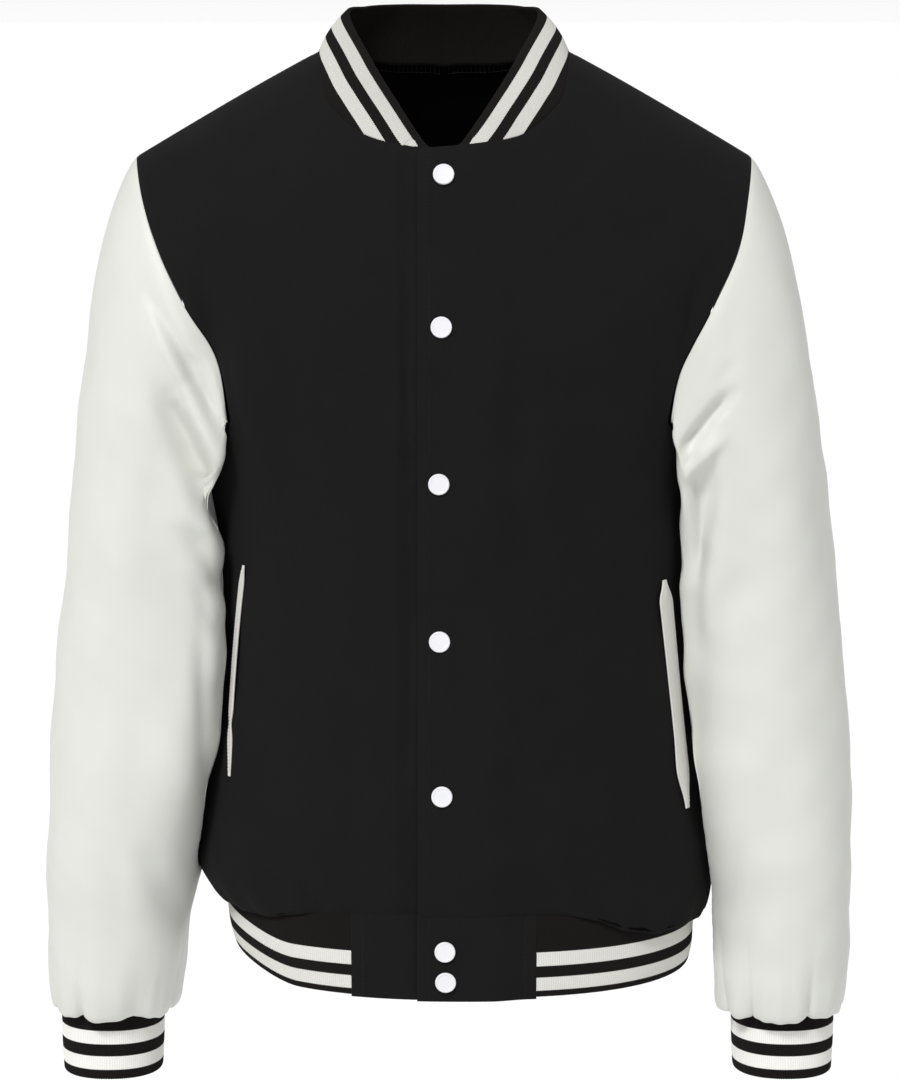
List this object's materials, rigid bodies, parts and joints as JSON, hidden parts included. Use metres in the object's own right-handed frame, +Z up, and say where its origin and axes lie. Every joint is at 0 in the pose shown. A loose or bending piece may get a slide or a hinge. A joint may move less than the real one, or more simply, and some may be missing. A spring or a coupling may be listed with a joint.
{
  "type": "varsity jacket",
  "caption": "Snap-front varsity jacket, filled as if worn: dark body, light smooth sleeves, striped rib collar, cuffs and hem, slanted welt pockets.",
  "frame": {"origin": "midway between the two points where the shoulder seams meet the collar, at the height and depth at which the wearer's shoulders carry the jacket", "axes": "+Z up, along the centre back; -Y forwards, to the side that closes; +X to the wearer's left"},
  "size_m": [0.6005, 0.2918, 0.7904],
  "materials": {
    "body_cloth": "brushed black sweat cloth, matt",
    "sleeve_cloth": "off-white coated cloth, smooth, low sheen",
    "rib_knit": "black rib knit with two off-white stripes",
    "welt": "off-white coated cloth, smooth",
    "snap_cap": "white moulded cap"
  },
  "bodies": {
    "root": {"front_left": "body_cloth", "front_right": "body_cloth", "back": "body_cloth", "sleeve_left": "sleeve_cloth", "sleeve_right": "sleeve_cloth", "collar": "rib_knit", "cuff_left": "rib_knit", "cuff_right": "rib_knit", "hem_rib": "rib_knit", "hem_tab_left": "body_cloth", "hem_tab_right": "body_cloth", "pocket_welt_left": "welt", "pocket_welt_right": "welt", "snap_1": "snap_cap", "snap_2": "snap_cap", "snap_3": "snap_cap", "snap_4": "snap_cap", "snap_5": "snap_cap", "hem_snap_1": "snap_cap", "hem_snap_2": "snap_cap"}
  },
  "joints": []
}
